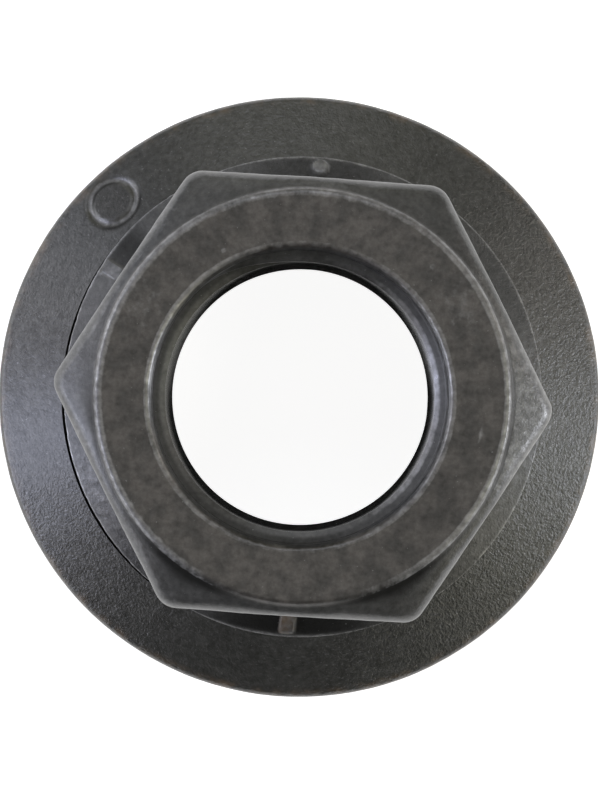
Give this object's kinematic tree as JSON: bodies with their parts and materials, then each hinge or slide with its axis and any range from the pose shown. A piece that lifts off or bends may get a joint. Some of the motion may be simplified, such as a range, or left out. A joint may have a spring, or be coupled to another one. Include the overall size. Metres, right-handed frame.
{
  "type": "wheel nut",
  "caption": "Hexagon wheel nut with a conical flange and a captive, free-turning pressure washer, for clamping a road wheel onto a threaded stud.",
  "frame": {"origin": "on the thread's axis, in the plane of the washer's clamping face", "axes": "+Z along the thread's axis from the clamping face to the top of the hexagon; two flats of the hexagon face +Y and -Y, two corners lie on +X and -X"},
  "size_m": [0.048, 0.048, 0.027],
  "materials": {
    "nut_steel": "dark phosphate coat on forged steel, dull, rubbed brighter on the edges",
    "washer_steel": "dark phosphate coat on rough forged steel, fine leathery grain"
  },
  "bodies": {
    "nut": {"nut": "nut_steel"},
    "washer": {"washer": "washer_steel"}
  },
  "joints": [
    {"name": "washer_spin", "type": "hinge", "parent": "nut", "child": "washer", "pos_m": [0, 0, 0], "axis": [0, 0, 1], "continuous": true}
  ]
}
